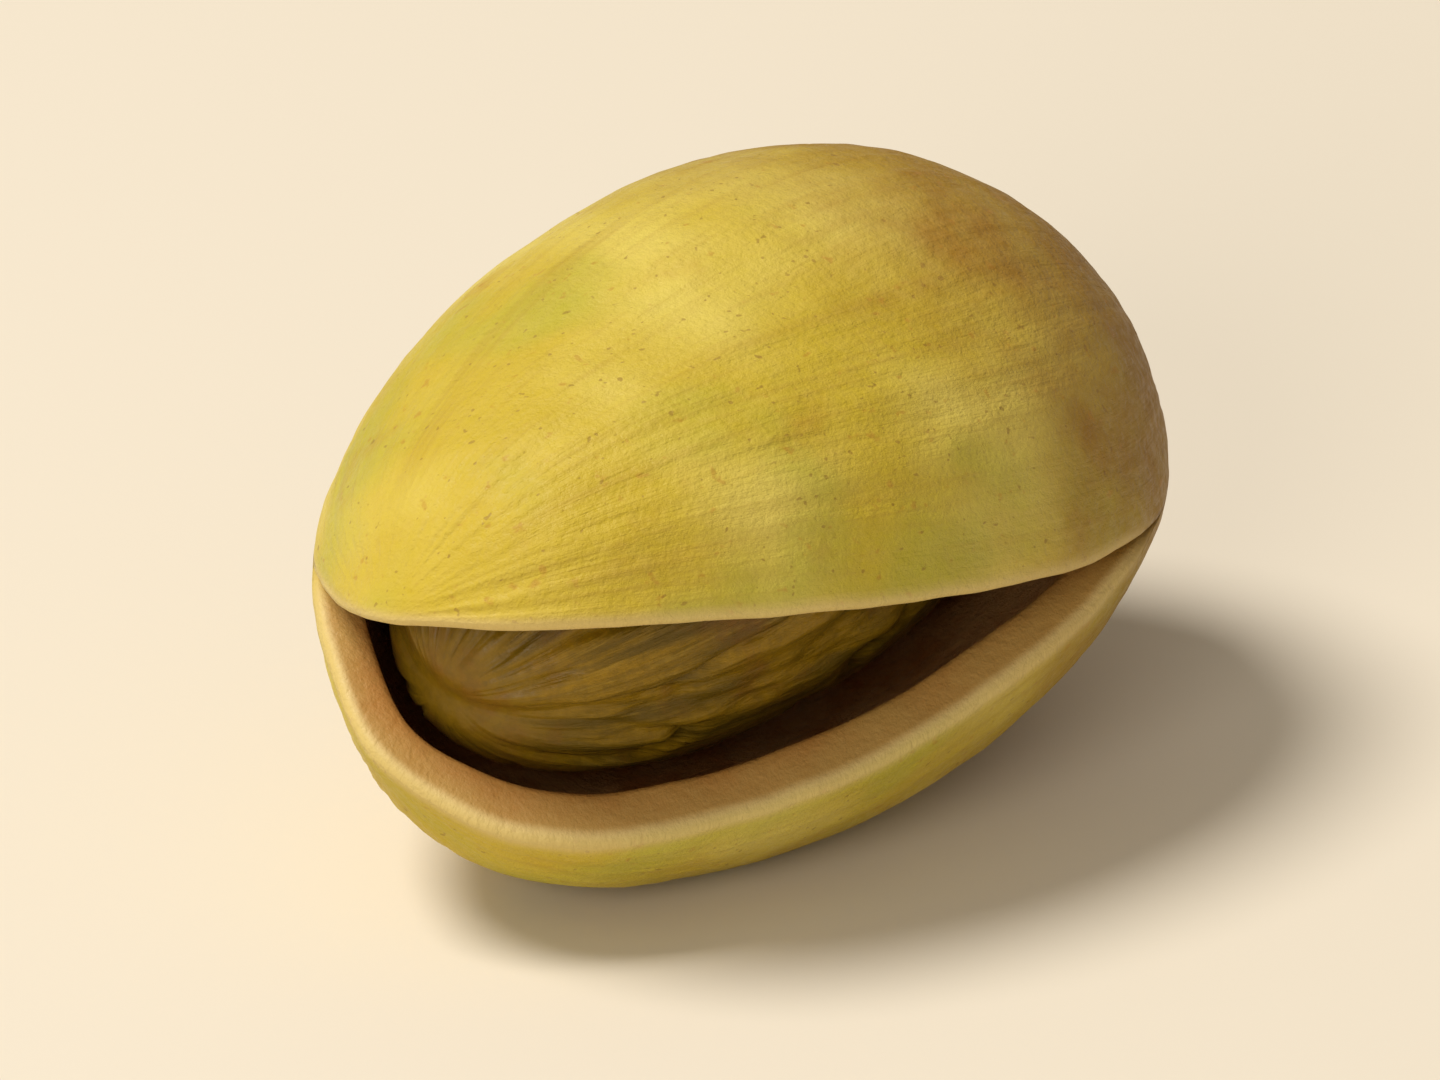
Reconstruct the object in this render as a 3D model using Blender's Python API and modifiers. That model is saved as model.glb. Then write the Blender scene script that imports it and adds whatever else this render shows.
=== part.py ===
"""A pistachio in its shell, lying on the back of its lower valve.

The shell is one woody piece. Its two valves are still joined round the stem end and along the
back, and have parted along the front and round the tip, so that the kernel shows. The kernel
lies loose in the lower valve.

Each piece is shaped about the nut's own centre, in metres: the tip is at -X, the stem end at +X,
the seam between the valves lies in the XY plane and the open side faces -Y. Both pieces are then
turned and lifted together, until the nut rests on the flat spot under it, at Z = 0.
"""

import math

import bmesh
import bpy
from mathutils import Euler, Matrix, Vector

MM = 0.001

# The shut nut: its size, and how it departs from an ellipsoid.
LENGTH = 19.2 * MM
WIDTH = 13.6 * MM
THICKNESS = 12.8 * MM
STEM_SWELL = 0.14
STEM_BLUNTNESS = 0.06
TIP_BLUNTNESS = 0.08
BACK_BOW = 0.5 * MM
TIP_BEAK = 0.25 * MM
TIP_BEAK_REACH = 0.25
SCAR_HEIGHT = 0.25 * MM
SCAR_RADIUS = 0.12
SCAR_RIM = 0.1
SEAM_RIDGE = 0.15 * MM
SEAM_RIDGE_REACH = 0.13

# The mouth: the valves part on one side of a line across the seam, more the further from it.
WALL = 0.9 * MM
MOUTH_FRONT_END = Vector((6.8 * MM, -5.2 * MM, 0.0))
MOUTH_BACK_END = Vector((-8.2 * MM, 4.6 * MM, 0.0))
MOUTH_GAPE = 4.6 * MM
MOUTH_DEPTH = 6.3 * MM
MOUTH_CURVE = 1.5
VALVE_LEAN = math.radians(10)

# The kernel, and where it lies in the shell.
KERNEL_LENGTH = 16.2 * MM
KERNEL_WIDTH = 9.7 * MM
KERNEL_THICKNESS = 9.3 * MM
KERNEL_SWELL = 0.1
KERNEL_GROOVE = 0.25 * MM
KERNEL_GROOVE_REACH = 0.1
KERNEL_PLACE = Vector((-0.35 * MM, 0.42 * MM, 0.12 * MM))
KERNEL_TWIST = math.radians(5)
KERNEL_LEAN = math.radians(10)

# How the nut lies: turned about its length, its stem end raised, on a flat spot this deep.
ROLL = math.radians(8)
PITCH = math.radians(-2)
SPOT_DEPTH = 0.18 * MM

SHELL_SEGMENTS = 48
SHELL_RINGS = 40
KERNEL_SEGMENTS = 32
KERNEL_RINGS = 24

SHELL_COLOUR = (0.60, 0.45, 0.08, 1.0)
SHELL_ROUGHNESS = 0.6
KERNEL_COLOUR = (0.22, 0.17, 0.03, 1.0)
KERNEL_ROUGHNESS = 0.45
ON_SEAM = 1e-6


def new_material(name, colour, roughness):
    """A plain, dull surface of one colour."""
    material = bpy.data.materials.new(name)
    material.use_nodes = True
    shader = material.node_tree.nodes["Principled BSDF"]
    shader.inputs["Base Color"].default_value = colour
    shader.inputs["Roughness"].default_value = roughness
    shader.inputs["Metallic"].default_value = 0.0
    return material


def new_object(name, bm, collection):
    """A smooth-shaded object made from the bmesh, which is used up."""
    mesh = bpy.data.meshes.new(name)
    bm.to_mesh(mesh)
    bm.free()
    mesh.shade_smooth()
    made = bpy.data.objects.new(name, mesh)
    collection.objects.link(made)
    return made


def unit_sphere(segments, rings):
    """A sphere of radius 1 with its poles on the X axis."""
    bm = bmesh.new()
    poles_on_x = Matrix.Rotation(math.pi / 2, 4, "Y")
    bmesh.ops.create_uvsphere(
        bm, u_segments=segments, v_segments=rings, radius=1, matrix=poles_on_x
    )
    return bm


def bell(distance, reach):
    """1 at no distance, falling smoothly to nothing a few reaches away."""
    return math.exp(-((distance / reach) ** 2))


def shut_nut(unit):
    """The place on the outside of the shut nut of a point of the unit sphere."""
    along, across, up = unit
    off_axis = math.hypot(across, up)
    swell = 1 + STEM_SWELL * along
    if along > 0:
        bluntness = STEM_BLUNTNESS
        knob = SCAR_HEIGHT * bell(off_axis - SCAR_RADIUS, SCAR_RIM)
    else:
        bluntness = TIP_BLUNTNESS
        knob = -TIP_BEAK * bell(off_axis, TIP_BEAK_REACH)
    ridge = SEAM_RIDGE * bell(up, SEAM_RIDGE_REACH)
    x = LENGTH / 2 * (along + bluntness * (along - along**5)) + knob + ridge * along
    y = WIDTH / 2 * across * swell + BACK_BOW * (1 - along**2) + ridge * across
    z = THICKNESS / 2 * up * swell
    return Vector((x, y, z))


def into_mouth():
    """The direction, in the plane of the seam, square to the line where the mouth starts."""
    line = MOUTH_BACK_END - MOUTH_FRONT_END
    return line.cross(Vector((0, 0, -1))).normalized()


def mouth_depth(point):
    """How far this point is inside the mouth, as a share of the mouth's depth."""
    return max((point - MOUTH_FRONT_END).dot(into_mouth()), 0.0) / MOUTH_DEPTH


def opened(point, side):
    """Where a point of the shut nut comes when its valve (1 upper, -1 lower) lifts and leans."""
    share = mouth_depth(point) ** MOUTH_CURVE
    lift = MOUTH_GAPE / 2 * share
    lean = VALVE_LEAN * share
    height = abs(point.z)
    moved = point - into_mouth() * height * math.sin(lean)
    moved.z = side * (lift + height * math.cos(lean))
    return moved


def split_seam(bm):
    """Cuts the unit sphere along the stretch of its seam that lies in the mouth."""
    split = []
    for edge in bm.edges:
        if all(abs(vertex.co.z) < ON_SEAM for vertex in edge.verts):
            if any(mouth_depth(shut_nut(vertex.co)) > 0 for vertex in edge.verts):
                split.append(edge)
    bmesh.ops.split_edges(bm, edges=split)


def valve_side(vertex):
    """1 for a vertex of the upper valve, -1 for one of the lower valve."""
    return math.copysign(1, sum(face.calc_center_median().z for face in vertex.link_faces))


def cut_flat_spot(bm, down):
    """Planes the lowest part of the shell flat, and tells how far below the centre that is."""
    reach = max(vertex.co.dot(down) for vertex in bm.verts) - SPOT_DEPTH
    everything = bm.verts[:] + bm.edges[:] + bm.faces[:]
    cut = bmesh.ops.bisect_plane(
        bm, geom=everything, plane_co=down * reach, plane_no=down, clear_outer=True
    )
    ring = [element for element in cut["geom_cut"] if isinstance(element, bmesh.types.BMEdge)]
    bmesh.ops.edgenet_fill(bm, edges=ring)
    bmesh.ops.recalc_face_normals(bm, faces=bm.faces[:])
    return reach


def make_shell(collection, turn):
    """The shell, a split egg with a wall, and its height from centre to flat spot."""
    bm = unit_sphere(SHELL_SEGMENTS, SHELL_RINGS)
    split_seam(bm)
    sides = {vertex: valve_side(vertex) for vertex in bm.verts}
    for vertex, side in sides.items():
        vertex.co = opened(shut_nut(vertex.co), side)
    height = cut_flat_spot(bm, turn.inverted() @ Vector((0, 0, -1)))
    shell = new_object("shell", bm, collection)
    shell.data.materials.append(new_material("shell", SHELL_COLOUR, SHELL_ROUGHNESS))
    wall = shell.modifiers.new("wall", "SOLIDIFY")
    wall.thickness = WALL
    wall.offset = -1
    wall.use_even_offset = True
    return shell, height


def kernel_outside(unit):
    """The place on the kernel of a point of the unit sphere."""
    along, across, up = unit
    swell = 1 + KERNEL_SWELL * along
    groove = KERNEL_GROOVE * bell(up, KERNEL_GROOVE_REACH)
    x = (KERNEL_LENGTH / 2 - groove) * along
    y = (KERNEL_WIDTH / 2 - groove) * across * swell + BACK_BOW * (1 - along**2)
    z = KERNEL_THICKNESS / 2 * up * swell
    return Vector((x, y, z))


def make_kernel(collection):
    """The kernel: a solid egg, with the groove between its two seed leaves round it."""
    bm = unit_sphere(KERNEL_SEGMENTS, KERNEL_RINGS)
    for vertex in bm.verts:
        vertex.co = kernel_outside(vertex.co)
    kernel = new_object("kernel", bm, collection)
    kernel.data.materials.append(new_material("kernel", KERNEL_COLOUR, KERNEL_ROUGHNESS))
    return kernel


def kernel_turn():
    """How the kernel is turned in the shell: twisted a little, and leaning with the lower valve."""
    lean = Matrix.Rotation(KERNEL_LEAN, 3, MOUTH_FRONT_END - MOUTH_BACK_END)
    return lean @ Matrix.Rotation(KERNEL_TWIST, 3, "Z")


def main():
    for old in list(bpy.data.objects):
        bpy.data.objects.remove(old, do_unlink=True)
    parts = bpy.data.collections.new("pistachio_in_shell")
    bpy.context.scene.collection.children.link(parts)
    pose = Euler((ROLL, PITCH, 0))
    turn = pose.to_matrix()
    shell, height = make_shell(parts, turn)
    kernel = make_kernel(parts)
    outside = [turn @ vertex.co for vertex in shell.data.vertices]
    middle_x = (min(p.x for p in outside) + max(p.x for p in outside)) / 2
    middle_y = (min(p.y for p in outside) + max(p.y for p in outside)) / 2
    shell.rotation_euler = pose
    shell.location = (-middle_x, -middle_y, height)
    kernel.rotation_euler = (turn @ kernel_turn()).to_euler()
    kernel.location = shell.location + turn @ KERNEL_PLACE


main()
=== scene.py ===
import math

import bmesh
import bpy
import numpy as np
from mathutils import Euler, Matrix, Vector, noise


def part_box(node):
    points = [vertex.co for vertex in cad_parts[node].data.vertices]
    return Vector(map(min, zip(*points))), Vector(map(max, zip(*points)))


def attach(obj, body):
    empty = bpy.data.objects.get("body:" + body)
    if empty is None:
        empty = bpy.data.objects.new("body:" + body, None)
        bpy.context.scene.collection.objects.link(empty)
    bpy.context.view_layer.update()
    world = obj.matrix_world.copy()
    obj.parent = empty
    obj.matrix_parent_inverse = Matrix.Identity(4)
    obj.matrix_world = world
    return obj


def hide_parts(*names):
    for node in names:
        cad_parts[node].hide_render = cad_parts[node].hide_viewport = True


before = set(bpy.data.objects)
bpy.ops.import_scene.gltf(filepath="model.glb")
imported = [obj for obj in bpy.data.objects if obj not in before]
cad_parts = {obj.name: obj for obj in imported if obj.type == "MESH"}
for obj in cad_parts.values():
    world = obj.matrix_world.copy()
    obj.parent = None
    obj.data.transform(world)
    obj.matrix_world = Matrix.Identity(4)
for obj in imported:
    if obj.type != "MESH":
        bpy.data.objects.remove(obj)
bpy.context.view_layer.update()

# A pistachio in its shell, in close-up detail, lying as its solid frame lies.
#
# Each piece is a fine grid wrapped round the nut's own centre, in metres: the tip is at -X, the
# stem end at +X, the seam between the valves lies in the XY plane and the open side faces -Y.
# The grids are then turned and lifted together to where the frame has the nut.
#
# The meshes keep numbers for each point, and the materials draw their patterns over these:
#   shut    where the point is while the nut is still shut, in mm
#   ring    how far along the nut it is, and its direction round the nut
#   inside  0 on the outside of the wall, 1 on the inside, between them across the lip
#   lip     1 at the edge of a valve where it has parted from the other, fading away from it
#   joined  1 where the valves are joined, 0 where they have parted

MM = 0.001

# The shut nut: its size, and how it departs from an ellipsoid.
LENGTH = 19.2 * MM
WIDTH = 13.6 * MM
THICKNESS = 12.8 * MM
STEM_SWELL = 0.14
STEM_BLUNTNESS = 0.06
TIP_BLUNTNESS = 0.08
BACK_BOW = 0.5 * MM
TIP_BEAK = 0.25 * MM
TIP_BEAK_REACH = 0.25
SCAR_HEIGHT = 0.25 * MM
SCAR_RADIUS = 0.12
SCAR_RIM = 0.1
SEAM_RIDGE = 0.15 * MM
SEAM_RIDGE_REACH = 0.13

# The mouth: the valves part on one side of a line across the seam, more the further from it.
WALL = 0.9 * MM
MOUTH_FRONT_END = np.array((6.8, -5.2, 0.0)) * MM
MOUTH_BACK_END = np.array((-8.2, 4.6, 0.0)) * MM
MOUTH_GAPE = 4.6 * MM
MOUTH_DEPTH = 6.3 * MM
MOUTH_CURVE = 1.5
VALVE_LEAN = math.radians(10)
PARTED_AT = 0.25  # the share of the mouth's depth where a lip is fully a lip

# How the nut lies.
ROLL = math.radians(8)
PITCH = math.radians(-2)

# The kernel.
KERNEL_LENGTH = 16.2 * MM
KERNEL_WIDTH = 9.7 * MM
KERNEL_THICKNESS = 9.3 * MM
KERNEL_SWELL = 0.1
KERNEL_GROOVE = 0.25 * MM
KERNEL_GROOVE_REACH = 0.1
KERNEL_PLACE = np.array((-0.35, 0.42, 0.12)) * MM
KERNEL_TWIST = math.radians(5)
KERNEL_LEAN = math.radians(10)

# Grids: those of the pieces here, and that of the solid shell, which finds the nut's centre.
SHELL_ROWS = 170
SHELL_HALF_TURN = 120
LIP_ROWS = 8
KERNEL_ROWS = 150
KERNEL_TURN = 220
SOLID_ROWS = 41
SOLID_HALF_TURN = 48
WELD = 1e-7
SLIT = 1e-6
NORMAL_STEP = 1e-3
ASKEW = np.array((0.30, 0.55, 0.78))  # along no row or column of a grid
SMALLEST = 1e-6

# Relief of the shell. It stays inside the solid, so it starts from a surface set in a little.
INSET = 0.1 * MM
RELIEF_TOP = 0.9 * INSET
LUMPS = 0.09 * MM
LUMP_SIZE = 6.0 * MM
GRAIN = 0.030 * MM
GRAIN_SIZE = 1.5 * MM
VEINS = 0.025 * MM
VEIN_PITCH = (1.3, 6.0, 6.0)
VEIN_SHARPNESS = 3
VEINS_LOST_AT_STEM = 0.6
SCAR_GRAIN = 0.07 * MM
SCAR_GRAIN_SIZE = 0.5 * MM
SCAR_EDGE = (0.95, 0.985)
DENTS = 0.04 * MM
DENT_SIZE = 4.5 * MM

# The lips: rounded, frayed, and thicker than the wall behind them.
LIP_ROUNDING = 0.16 * MM
LIP_SQUARENESS = 4
LIP_FULLNESS = 0.35
LIP_FRAY = 0.07 * MM
LIP_FRAY_SIZE = 2.6 * MM
LIP_BLEND = 3.0 * MM
LIP_SWELL = 0.22 * MM
LIP_SWELL_REACH = 1.0 * MM
LIP_OUTSIDE = 0.16 * MM
LIP_INSIDE = 0.4 * MM

# Relief of the kernel's skin.
KERNEL_PROUD = 0.04 * MM
KERNEL_LUMPS = 0.07 * MM
KERNEL_LUMP_SIZE = 4.0 * MM
FURROW_DEPTH = 0.24 * MM
FURROW_WIDTH = 0.25
FURROW_PITCH = (1.6, 3.2, 3.2)
CRINKLES = 0.035 * MM
CRINKLE_PITCH = (4.0, 9.0, 9.0)

# Colours.
GOLD = "bfa62c"
PALE_GOLD = "d3bf58"
GREEN_GOLD = "aaa634"
STREAK = "a17c26"
STAIN = "a8711f"
# Brown of the stem end, which also serves as painted shade on that side.
STEM_BROWN_AND_SHADE = "8a5a04"
SCAR = "7d5420"
SEAM = "80591c"
DUST = "c9ad68"
LIP = "ad8746"
LIP_PALE = "dcc384"
LIP_BROWN = "a87336"
LINING = "c08a52"
LINING_DARK = "a05c26"
OLIVE = "9d7912"
OLIVE_DARK = "66500e"
OLIVE_LIGHT = "bb983a"
SKIN_BROWN = "7a4a1c"
FLOOR_COLOUR = "e2d8c6"
STUDIO_COLOUR = "fff6e6"

# The studio and the view.
FLOOR_HALF = 2.0
STUDIO_STRENGTH = 0.3
VIEW_AZIMUTH = -44
VIEW_ELEVATION = 27
VIEW_DISTANCE = 0.45
VIEW_LENS = 560
VIEW_CLIP_START = 0.05
AIM = (0.0, 0.0, 0.0055)

# The colour sockets of a Mix node.
MIX_A, MIX_B, MIX_RESULT = 6, 7, 2


def bell(distance, reach):
    """1 at no distance, falling smoothly to about a third at the reach."""
    return np.exp(-((distance / reach) ** 2))


def smooth(value, low, high):
    """0 up to low, 1 from high on, and a smooth step between."""
    share = np.clip((value - low) / (high - low), 0.0, 1.0)
    return share * share * (3 - 2 * share)


def rumple(points, scale=1.0, octaves=3, offset=0.0):
    """Soft noise, about -1 to 1. Scale is the size of its features, and offset picks its place."""
    flat = (points.reshape(-1, 3) / scale + offset).tolist()
    values = [noise.fractal(Vector(q), 1.0, 2.0, octaves) for q in flat]
    return np.array(values).reshape(points.shape[:-1])


def unit_grid(rows, turn):
    """Points of a unit sphere: row 0 at the stem, the last row at the tip."""
    angle = np.linspace(0.0, math.pi, rows)[:, None]
    turn = np.asarray(turn)[None, :]
    along = np.cos(angle) * np.ones_like(turn)
    across = -np.sin(angle) * np.cos(turn)
    up = np.sin(angle) * np.sin(turn)
    return np.stack((along, across, up), axis=-1)


def half_turn(side, steps):
    """Angles round the length from the front seam to the back one, over or under the nut."""
    return side * np.linspace(0.0, math.pi, steps + 1)


def from_axis(unit):
    """How far points of the unit sphere are from the nut's length: 0 at its two ends."""
    return np.hypot(unit[..., 1], unit[..., 2])


def ring(unit):
    """Along the nut, and round it: patterns over these run lengthwise and meet at the ends."""
    along, across, up = np.moveaxis(unit, -1, 0)
    off_axis = np.maximum(from_axis(unit), SMALLEST)
    return np.stack((along, across / off_axis, up / off_axis), axis=-1)


def shut_nut(unit):
    """The outside of the shut nut over the unit sphere."""
    along, across, up = np.moveaxis(unit, -1, 0)
    off_axis = from_axis(unit)
    swell = 1 + STEM_SWELL * along
    stem = along > 0
    bluntness = np.where(stem, STEM_BLUNTNESS, TIP_BLUNTNESS)
    scar = SCAR_HEIGHT * bell(off_axis - SCAR_RADIUS, SCAR_RIM)
    beak = -TIP_BEAK * bell(off_axis, TIP_BEAK_REACH)
    knob = np.where(stem, scar, beak)
    ridge = SEAM_RIDGE * bell(up, SEAM_RIDGE_REACH)
    x = LENGTH / 2 * (along + bluntness * (along - along**5)) + knob + ridge * along
    y = WIDTH / 2 * across * swell + BACK_BOW * (1 - along**2) + ridge * across
    z = THICKNESS / 2 * up * swell
    return np.stack((x, y, z), axis=-1)


def kernel_outside(unit):
    """The plain kernel over the unit sphere, with the groove between its two halves."""
    along, across, up = np.moveaxis(unit, -1, 0)
    swell = 1 + KERNEL_SWELL * along
    groove = KERNEL_GROOVE * bell(up, KERNEL_GROOVE_REACH)
    x = (KERNEL_LENGTH / 2 - groove) * along
    y = (KERNEL_WIDTH / 2 - groove) * across * swell + BACK_BOW * (1 - along**2)
    z = KERNEL_THICKNESS / 2 * up * swell
    return np.stack((x, y, z), axis=-1)


def outward(surface, unit):
    """Normals of the surface over the unit grid, by steps of the unit sphere itself."""
    side_a = np.cross(unit, ASKEW)
    side_a /= np.linalg.norm(side_a, axis=-1, keepdims=True)
    side_b = np.cross(unit, side_a)

    def moved(side, amount):
        q = unit + side * amount
        return surface(q / np.linalg.norm(q, axis=-1, keepdims=True))

    du = moved(side_a, NORMAL_STEP) - moved(side_a, -NORMAL_STEP)
    dv = moved(side_b, NORMAL_STEP) - moved(side_b, -NORMAL_STEP)
    normal = np.cross(du, dv)
    return normal / np.linalg.norm(normal, axis=-1, keepdims=True)


MOUTH_LINE = MOUTH_BACK_END - MOUTH_FRONT_END
INTO_MOUTH = np.cross(MOUTH_LINE, (0, 0, -1))
INTO_MOUTH = INTO_MOUTH / np.linalg.norm(INTO_MOUTH)


def mouth_depth(points):
    """How far past the mouth's line: 0 where the valves are joined, about 1 at its deepest."""
    return np.maximum((points - MOUTH_FRONT_END) @ INTO_MOUTH, 0.0) / MOUTH_DEPTH


def in_mouth(shut):
    """0 where the valves are joined, 1 where they have parted."""
    return smooth(mouth_depth(shut), 0.0, PARTED_AT)


def opened(points, side):
    """Points of the shut nut, moved as their valve opens: lifted from the seam, and leaning."""
    depth = mouth_depth(points)
    share = depth**MOUTH_CURVE
    lift = MOUTH_GAPE / 2 * share
    lean = VALVE_LEAN * share
    height = np.abs(points[..., 2])
    moved = points - INTO_MOUTH * (height * np.sin(lean))[..., None]
    moved[..., 2] = side * (lift + height * np.cos(lean))
    return moved


class Weave:
    """Grids of points gathered into one closed mesh, with numbers kept for each point."""

    def __init__(self):
        self.points, self.faces, self.numbers = [], [], {}
        self.count = 0

    def grid(self, points, flip=False, **numbers):
        """Adds rows and columns of points; flip turns the faces over."""
        rows, columns = points.shape[:2]
        index = np.arange(rows * columns).reshape(rows, columns) + self.count
        corners = (index[:-1, :-1], index[:-1, 1:], index[1:, 1:], index[1:, :-1])
        quads = np.stack(corners, axis=-1).reshape(-1, 4)
        self.faces.append(quads[:, ::-1] if flip else quads)
        self.points.append(points.reshape(-1, 3))
        for name, values in numbers.items():
            values = np.asarray(values, dtype=float)
            size = 3 if values.ndim == 3 else 1
            if size == 1:
                values = np.broadcast_to(values, (rows, columns))
            self.numbers.setdefault(name, []).append(values.reshape(-1, size))
        self.count += rows * columns

    def make(self, name):
        """Makes the object, with the grids welded where they meet."""
        points = np.concatenate(self.points)
        faces = np.concatenate(self.faces)
        mesh = bpy.data.meshes.new(name)
        mesh.from_pydata(points.tolist(), [], faces.tolist())
        for label, parts in self.numbers.items():
            values = np.concatenate(parts).astype(np.float32)
            single = values.shape[1] == 1
            kind, field = ("FLOAT", "value") if single else ("FLOAT_VECTOR", "vector")
            attribute = mesh.attributes.new(label, kind, "POINT")
            attribute.data.foreach_set(field, values.ravel())
        bm = bmesh.new()
        bm.from_mesh(mesh)
        bmesh.ops.remove_doubles(bm, verts=bm.verts, dist=WELD)
        bmesh.ops.recalc_face_normals(bm, faces=bm.faces)
        bm.to_mesh(mesh)
        bm.free()
        mesh.shade_smooth()
        return add_object(name, mesh)


def add_object(name, data):
    made = bpy.data.objects.new(name, data)
    bpy.context.scene.collection.objects.link(made)
    return made


TURN = np.array(Euler((ROLL, PITCH, 0)).to_matrix())


def frame_place():
    """Where the solid shell has the nut's centre, found from its box."""
    shell = []
    for side in (1, -1):
        unit = unit_grid(SOLID_ROWS, half_turn(side, SOLID_HALF_TURN))
        shell.append((opened(shut_nut(unit), side) @ TURN.T).reshape(-1, 3))
    points = np.concatenate(shell)
    low, high = points.min(axis=0), points.max(axis=0)
    box_low, box_high = (np.array(corner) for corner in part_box("shell"))
    place = (box_low + box_high - low - high) / 2
    place[2] = box_high[2] - high[2]
    return place


def placed(points, place):
    """From the nut's own frame to where the frame has it, planed off at the floor."""
    moved = points @ TURN.T + place
    moved[..., 2] = np.maximum(moved[..., 2], 0.0)
    return moved


def shell_relief(shut, unit):
    """How far the outside stands above (or below) the plain egg."""
    along = unit[..., 0]
    veins = 1 - VEIN_SHARPNESS * np.abs(rumple(ring(unit) * VEIN_PITCH, offset=3.7))
    fading = 1 - VEINS_LOST_AT_STEM * smooth(along, 0.3, 0.9)
    away_from_ends = smooth(from_axis(unit), 0.05, 0.45)
    relief = LUMPS * rumple(shut, LUMP_SIZE, octaves=2, offset=11.0)
    relief += GRAIN * rumple(shut, GRAIN_SIZE, offset=5.0)
    relief += VEINS * np.clip(veins, -1, 1) * fading * away_from_ends
    on_scar = smooth(along, *SCAR_EDGE)
    relief += SCAR_GRAIN * rumple(shut, SCAR_GRAIN_SIZE, octaves=2, offset=2.0) * on_scar
    return np.minimum(relief, RELIEF_TOP)


def wall_faces(unit):
    """The outside and the inside of the shut shell's wall, flat where they meet the seam."""
    shut = shut_nut(unit)
    normal = outward(shut_nut, unit)
    outer = shut + normal * (shell_relief(shut, unit) - INSET)[..., None]
    dents = DENTS * rumple(shut, DENT_SIZE, octaves=2, offset=20.0)
    swell = LIP_SWELL * bell(shut[..., 2], LIP_SWELL_REACH) * in_mouth(shut)
    inner = shut - normal * (WALL + dents + swell)[..., None]
    for surface in (outer, inner):
        surface[:, 0, 2] = 0.0
        surface[:, -1, 2] = 0.0
    return outer, inner


def lipped(shut, side, bead):
    """Opens the valve, draws its edge back a little for a rounded lip, and frays the edge."""
    height = np.abs(shut[..., 2])
    near_edge = 1 - smooth(height, 0.0, LIP_BLEND)
    edge_place = shut * (1.0, 1.0, 0.0)
    fray = rumple(edge_place, LIP_FRAY_SIZE, offset=8.0 + 5 * side)
    moved = opened(shut, side)
    back = LIP_ROUNDING * (1 - bead) + LIP_FRAY * fray
    moved[..., 2] += side * back * near_edge * in_mouth(shut)
    return moved


# Places across a lip, 0 at its outer edge and 1 at its inner one, and how full its bead is there.
ACROSS_LIP = (1 - np.cos(np.linspace(0, math.pi, LIP_ROWS + 1))) / 2
LIP_BEAD = (1 - np.abs(2 * ACROSS_LIP - 1) ** LIP_SQUARENESS) ** LIP_FULLNESS


def lip_strip(outer, inner, column):
    """The wall's edge at a seam, as a strip from outside to inside."""
    start, end = outer[:, None, column], inner[:, None, column]
    return start + (end - start) * ACROSS_LIP[None, :, None]


def first_parted(strip):
    """The first row, from the stem, where the lips have parted anywhere across the wall."""
    return int(np.argmax((mouth_depth(strip) > 0).any(axis=1)))


def keep_apart(points, side):
    """Lips that have parted stay apart by a hair, so that welding leaves the slit open."""
    points[..., 2] = side * np.maximum(side * points[..., 2], SLIT)


def make_shell(place):
    """Both valves as one mesh: each an outside, an inside, and two strips along its edge."""
    weave = Weave()
    for side in (1, -1):
        unit = unit_grid(SHELL_ROWS, half_turn(side, SHELL_HALF_TURN))
        outer, inner = wall_faces(unit)
        strips = {column: lip_strip(outer, inner, column) for column in (0, -1)}
        for surface, depth, reach in ((outer, 0.0, LIP_OUTSIDE), (inner, 1.0, LIP_INSIDE)):
            moved = lipped(surface, side, 0.0)
            for column, strip in strips.items():
                keep_apart(moved[first_parted(strip) :, column], side)
            weave.grid(
                placed(moved, place),
                flip=(side > 0) == (depth > 0),
                shut=shut_nut(unit) / MM,
                ring=ring(unit),
                inside=depth,
                lip=bell(surface[..., 2], reach) * in_mouth(surface),
                joined=1 - in_mouth(surface),
            )
        for column, strip in strips.items():
            moved = lipped(strip, side, LIP_BEAD[None, :])
            keep_apart(moved[first_parted(strip) :], side)
            rows = slice(first_parted(strip) - 1, None)
            weave.grid(
                placed(moved, place)[rows],
                flip=(side > 0) == (column == 0),
                shut=strip[rows] / MM,
                ring=np.broadcast_to(ring(unit)[:, None, column], strip.shape)[rows],
                inside=np.broadcast_to(ACROSS_LIP[None, :], strip.shape[:2])[rows],
                lip=in_mouth(strip)[rows],
                joined=1 - in_mouth(strip)[rows],
            )
    return weave.make("shell_detail")


def kernel_relief(plain, unit):
    """Wrinkles in the skin, mostly lengthwise."""
    furrows = np.abs(rumple(ring(unit) * FURROW_PITCH, offset=1.5))
    crinkle = rumple(ring(unit) * CRINKLE_PITCH, offset=9.0)
    relief = KERNEL_LUMPS * rumple(plain, KERNEL_LUMP_SIZE, octaves=2, offset=4.0)
    away = smooth(from_axis(unit), 0.1, 0.7)
    furrow = FURROW_WIDTH - np.minimum(furrows, FURROW_WIDTH)
    relief -= FURROW_DEPTH * furrow / FURROW_WIDTH * away
    relief += CRINKLES * crinkle * away
    return np.minimum(relief, KERNEL_PROUD)


def make_kernel(place):
    """The wrinkled kernel, twisted a little and leaning with the lower valve."""
    unit = unit_grid(KERNEL_ROWS, np.linspace(0.0, 2 * math.pi, KERNEL_TURN + 1))
    plain = kernel_outside(unit)
    relief = kernel_relief(plain, unit)
    points = plain + outward(kernel_outside, unit) * relief[..., None]
    lean = Matrix.Rotation(KERNEL_LEAN, 3, Vector(MOUTH_FRONT_END - MOUTH_BACK_END))
    turned = np.array(lean @ Matrix.Rotation(KERNEL_TWIST, 3, "Z"))
    points = points @ turned.T + KERNEL_PLACE
    weave = Weave()
    weave.grid(placed(points, place), shut=plain / MM, ring=ring(unit))
    return weave.make("kernel_detail")


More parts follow.
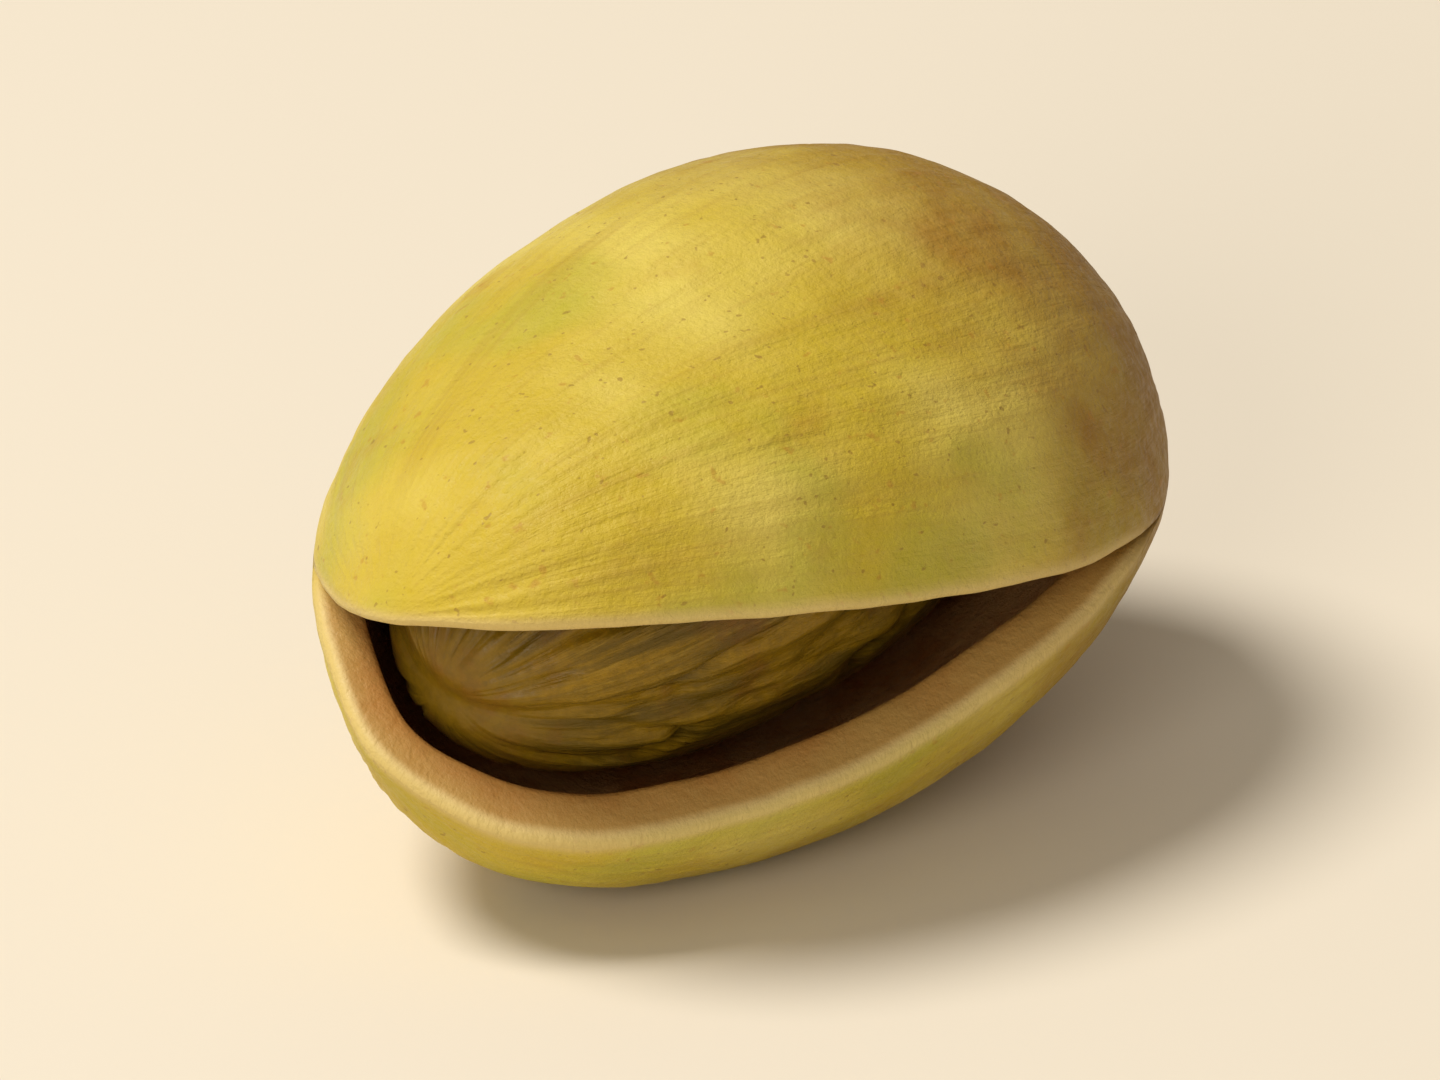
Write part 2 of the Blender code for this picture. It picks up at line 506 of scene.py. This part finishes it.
def linear(code):
    """A colour written as six hex digits, in the linear values that shaders take."""
    parts = [int(code[i : i + 2], 16) / 255 for i in (0, 2, 4)]
    curve = [c / 12.92 if c <= 0.04045 else ((c + 0.055) / 1.055) ** 2.4 for c in parts]
    return (*curve, 1.0)


class Look:
    """A material and short ways to add nodes to it."""

    def __init__(self, name, roughness, specular):
        self.material = bpy.data.materials.new(name)
        self.material.use_nodes = True
        self.tree = self.material.node_tree
        self.shader = self.tree.nodes["Principled BSDF"]
        self.show("Roughness", roughness)
        self.show("Specular IOR Level", specular)

    def fill(self, socket, value):
        """Links another node's output to a socket, or gives the socket a plain value."""
        if isinstance(value, bpy.types.NodeSocket):
            self.tree.links.new(value, socket)
        else:
            socket.default_value = value

    def show(self, name, value):
        """Fills one of the shader's own sockets."""
        self.fill(self.shader.inputs[name], value)

    def add(self, kind, inputs, **settings):
        made = self.tree.nodes.new(kind)
        for key, value in settings.items():
            setattr(made, key, value)
        for key, value in inputs.items():
            self.fill(made.inputs[key], value)
        return made

    def number(self, label):
        """A number kept on the mesh."""
        return self.add("ShaderNodeAttribute", {}, attribute_name=label).outputs["Fac"]

    def vector(self, label, scale=(1.0, 1.0, 1.0), shift=(0.0, 0.0, 0.0)):
        """A vector kept on the mesh, stretched and shifted."""
        source = self.add("ShaderNodeAttribute", {}, attribute_name=label)
        mapping = {"Vector": source.outputs["Vector"], "Scale": scale, "Location": shift}
        return self.add("ShaderNodeMapping", mapping).outputs["Vector"]

    def part(self, vector, axis):
        return self.add("ShaderNodeSeparateXYZ", {"Vector": vector}).outputs[axis]

    def noise(self, vector, scale, detail=3.0, rough=0.5):
        inputs = {"Vector": vector, "Scale": scale, "Detail": detail, "Roughness": rough}
        return self.add("ShaderNodeTexNoise", inputs).outputs["Fac"]

    def range(self, value, low, high, to=(0.0, 1.0)):
        """Moves a value smoothly from to[0] at low to to[1] at high."""
        inputs = {"Value": value, "From Min": low, "From Max": high}
        inputs.update({"To Min": to[0], "To Max": to[1]})
        made = self.add("ShaderNodeMapRange", inputs, interpolation_type="SMOOTHSTEP")
        return made.outputs["Result"]

    def math(self, operation, a, b=0.0):
        made = self.tree.nodes.new("ShaderNodeMath")
        made.operation = operation
        self.fill(made.inputs[0], a)
        self.fill(made.inputs[1], b)
        return made.outputs[0]

    def sway(self, vector, scale, amount):
        """A number that wavers about 0 from place to place."""
        swing = self.math("SUBTRACT", self.noise(vector, scale), 0.5)
        return self.math("MULTIPLY", swing, amount)

    def calm(self, value, share):
        """Draws a pattern's value in towards its middle, 0.5, all the way where share is 0."""
        swing = self.math("MULTIPLY", self.math("SUBTRACT", value, 0.5), share)
        return self.math("ADD", swing, 0.5)

    def lines(self, along, pitch, rough=0.6, shift=(0.0, 0.0, 0.0)):
        """Lengthwise lines, calmed at the nut's ends, where they would crowd."""
        pattern = self.noise(self.vector("ring", pitch, shift), 1.0, 4.0, rough)
        from_ends = self.math("SUBTRACT", 1.0, self.math("MULTIPLY", along, along))
        return self.calm(pattern, self.range(from_ends, 0.03, 0.5))

    def mix(self, share, a, b):
        made = self.tree.nodes.new("ShaderNodeMix")
        made.data_type = "RGBA"
        self.fill(made.inputs[0], share)
        self.fill(made.inputs[MIX_A], a)
        self.fill(made.inputs[MIX_B], b)
        return made.outputs[MIX_RESULT]

    def over(self, colour, code, share, strength=None):
        """Lays a colour, given as hex digits, over the colour so far."""
        if strength is not None:
            share = self.math("MULTIPLY", share, strength)
        return self.mix(share, colour, linear(code))

    def bump(self, height, distance, strength, under=None):
        """Raises the surface by a pattern, on top of the bumps under it."""
        inputs = {"Height": height, "Distance": distance, "Strength": strength}
        if under is not None:
            inputs["Normal"] = under
        return self.add("ShaderNodeBump", inputs).outputs["Normal"]


def shell_look():
    """A golden shell with lengthwise streaks, browner and darker to the stem (partly painted
    shade), with a pale lip and lining.
    """
    look = Look("shell_skin", roughness=0.55, specular=0.28)
    place = look.vector("shut")
    along = look.part(look.vector("ring"), "X")
    inside = look.number("inside")
    lip = look.number("lip")

    # The ground colour: gold, in broad blotches of paler and of greener gold.
    blotch = look.range(look.noise(place, 0.16, 2.0), 0.38, 0.62)
    colour = look.mix(blotch, linear(GOLD), linear(PALE_GOLD))
    tint = look.noise(look.vector("shut", shift=(7.0, 3.0, 1.0)), 0.22, 2.0)
    colour = look.over(colour, GREEN_GOLD, look.range(tint, 0.5, 0.7), 0.6)

    # Lengthwise streaks, broad and fine.
    streaks = look.lines(along, (1.1, 9.0, 9.0))
    hairs = look.lines(along, (2.5, 26.0, 26.0), shift=(4.0, 0.0, 0.0))
    colour = look.over(colour, STREAK, look.range(streaks, 0.52, 0.72), 0.28)
    colour = look.over(colour, STREAK, look.range(hairs, 0.5, 0.7), 0.18)

    # Stains, more of them near the stem, and the stem end browned: partly the shell's own tint
    # there, partly painted shade.
    patch = look.noise(look.vector("shut", shift=(2.0, 9.0, 5.0)), 0.33, 4.0, 0.6)
    near_stem = look.range(along, 0.2, 1.0, to=(0.0, 0.16))
    stain = look.range(look.math("ADD", patch, near_stem), 0.56, 0.74)
    colour = look.over(colour, STAIN, stain, 0.3)
    # Painted shade as well as real browning: the stem end is coloured darker than its own tint,
    # standing in for shade there.
    browning_and_painted_shade = look.range(look.math("ADD", patch, along), 0.35, 1.25, to=(0.0, 0.85))
    colour = look.over(colour, STEM_BROWN_AND_SHADE, browning_and_painted_shade)

    # Small dark specks.
    pinprick = look.range(look.noise(place, 4.6, 1.0), 0.7, 0.76)
    colour = look.over(colour, SCAR, pinprick, 0.5)
    speck = look.range(look.noise(place, 2.6, 2.0), 0.65, 0.74)
    colour = look.over(colour, STAIN, speck, 0.45)

    # The seam line where the valves are joined, and the scar at the stem.
    from_seam = look.math("ADD", look.part(place, "Z"), look.sway(place, 1.2, 0.25))
    on_seam = look.range(look.math("ABSOLUTE", from_seam), 0.02, 0.13, to=(1.0, 0.0))
    seam = look.math("MULTIPLY", on_seam, look.number("joined"))
    wear = look.range(look.noise(place, 0.6, 2.0), 0.35, 0.6, to=(0.35, 0.75))
    colour = look.over(colour, SEAM, seam, wear)
    to_stem = look.math("ADD", along, look.sway(place, 1.6, 0.02))
    colour = look.over(colour, SCAR, look.range(to_stem, 0.955, 0.985, to=(0.0, 0.75)))
    colour = look.over(colour, LIP, look.range(to_stem, 0.985, 0.993, to=(0.0, 0.5)))

    # The lining, and the lips, palest at their outer edge.
    mottle = look.range(look.noise(place, 0.5, 4.0, 0.6), 0.35, 0.7)
    lining = look.mix(mottle, linear(LINING), linear(LINING_DARK))
    colour = look.mix(look.range(inside, 0.75, 1.0), colour, lining)
    worn = look.math("ADD", look.noise(place, 0.28), look.math("MULTIPLY", inside, 0.3))
    rim = look.mix(look.range(worn, 0.5, 0.95), linear(LIP), linear(LIP_BROWN))
    rim = look.over(rim, LIP_PALE, look.range(inside, 0.08, 0.3, to=(0.8, 0.0)))
    edge = look.math("MULTIPLY", lip, look.range(inside, 0.0, 0.2, to=(0.7, 1.0)))
    colour = look.mix(edge, colour, rim)

    # A little dust over it all.
    dust = look.range(look.noise(place, 3.2, 5.0, 0.7), 0.3, 0.7, to=(0.0, 0.12))
    look.show("Base Color", look.over(colour, DUST, dust))

    # The feel of it: ribs from the streaks, which stop at the lips, then pits and powder.
    grain = look.noise(place, 5.0, 4.0, 0.6)
    look.show("Roughness", look.range(grain, 0.3, 0.7, to=(0.42, 0.64)))
    off_lip = look.math("SUBTRACT", 1.0, lip)
    ribs = look.bump(look.calm(hairs, off_lip), 0.05 * MM, 0.6)
    ribs = look.bump(look.calm(streaks, off_lip), 0.10 * MM, 0.5, ribs)
    ribs = look.bump(look.math("SUBTRACT", 1.0, seam), 0.10 * MM, 0.7, ribs)
    pits = look.bump(grain, 0.06 * MM, 0.7, ribs)
    powder = look.noise(place, 11.0, 3.0, 0.6)
    look.show("Normal", look.bump(powder, 0.03 * MM, 0.6, pits))
    return look.material


def kernel_look():
    """Olive skin with lengthwise bands and threads, and brown patches."""
    look = Look("kernel_skin", roughness=0.42, specular=0.3)
    place = look.vector("shut")
    along = look.part(look.vector("ring"), "X")
    bands = look.lines(along, (1.4, 5.0, 5.0))
    threads = look.lines(along, (4.0, 16.0, 16.0), rough=0.65)
    grain = look.noise(place, 4.0, 4.0, 0.6)

    colour = look.mix(look.range(bands, 0.38, 0.62), linear(OLIVE_DARK), linear(OLIVE))
    patch = look.range(look.noise(place, 0.45, 4.0, 0.6), 0.48, 0.66)
    colour = look.over(colour, SKIN_BROWN, patch, 0.5)
    colour = look.over(colour, OLIVE_LIGHT, look.range(threads, 0.54, 0.7), 0.35)
    mote = look.range(look.noise(place, 5.0, 4.0, 0.65), 0.35, 0.7, to=(0.0, 0.4))
    look.show("Base Color", look.over(colour, OLIVE_DARK, mote))

    look.show("Roughness", look.range(grain, 0.3, 0.7, to=(0.34, 0.55)))
    wrinkles = look.bump(threads, 0.15 * MM, 0.7)
    look.show("Normal", look.bump(grain, 0.05 * MM, 0.5, wrinkles))
    return look.material


def add_area(name, at, size, energy, colour):
    """A round soft light, aimed at the nut."""
    light = bpy.data.lights.new(name, "AREA")
    light.shape = "DISK"
    light.size = size
    light.energy = energy
    light.color = colour
    made = add_object(name, light)
    made.location = at
    made.rotation_euler = (Vector(AIM) - Vector(at)).to_track_quat("-Z", "Y").to_euler()


def add_camera():
    """The camera, at the photo's angle; azimuth 0 looks along +Y."""
    camera = bpy.data.cameras.new("camera")
    camera.lens = VIEW_LENS
    camera.clip_start = VIEW_CLIP_START
    azimuth, elevation = math.radians(VIEW_AZIMUTH), math.radians(VIEW_ELEVATION)
    back = Vector((
        math.sin(azimuth) * math.cos(elevation),
        -math.cos(azimuth) * math.cos(elevation),
        math.sin(elevation),
    ))
    made = add_object("camera", camera)
    made.location = Vector(AIM) + back * VIEW_DISTANCE
    made.rotation_euler = (-back).to_track_quat("-Z", "Y").to_euler()
    bpy.context.scene.camera = made


def add_floor():
    mesh = bpy.data.meshes.new("floor")
    corners = ((-1, -1), (1, -1), (1, 1), (-1, 1))
    points = [(x * FLOOR_HALF, y * FLOOR_HALF, 0) for x, y in corners]
    mesh.from_pydata(points, [], [(0, 1, 2, 3)])
    look = Look("floor", roughness=0.8, specular=0.1)
    look.show("Base Color", linear(FLOOR_COLOUR))
    mesh.materials.append(look.material)
    floor = add_object("floor", mesh)


def add_world():
    world = bpy.data.worlds.new("studio")
    world.use_nodes = True
    background = world.node_tree.nodes["Background"]
    background.inputs["Color"].default_value = linear(STUDIO_COLOUR)
    background.inputs["Strength"].default_value = STUDIO_STRENGTH
    bpy.context.scene.world = world


place = frame_place()
shell = make_shell(place)
shell.data.materials.append(shell_look())
kernel = make_kernel(place)
kernel.data.materials.append(kernel_look())
for piece, node in ((shell, "shell"), (kernel, "kernel")):
    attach(piece, "root")
    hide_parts(node)
add_floor()
add_world()
add_area("key", at=(-0.18, 0.15, 0.44), size=0.2, energy=2.3, colour=(1.0, 0.97, 0.93))
add_area("fill", at=(-0.44, -0.20, 0.22), size=0.25, energy=0.9, colour=(1.0, 0.95, 0.88))
add_camera()
bpy.context.scene.view_settings.view_transform = "Standard"

bpy.context.view_layer.update()
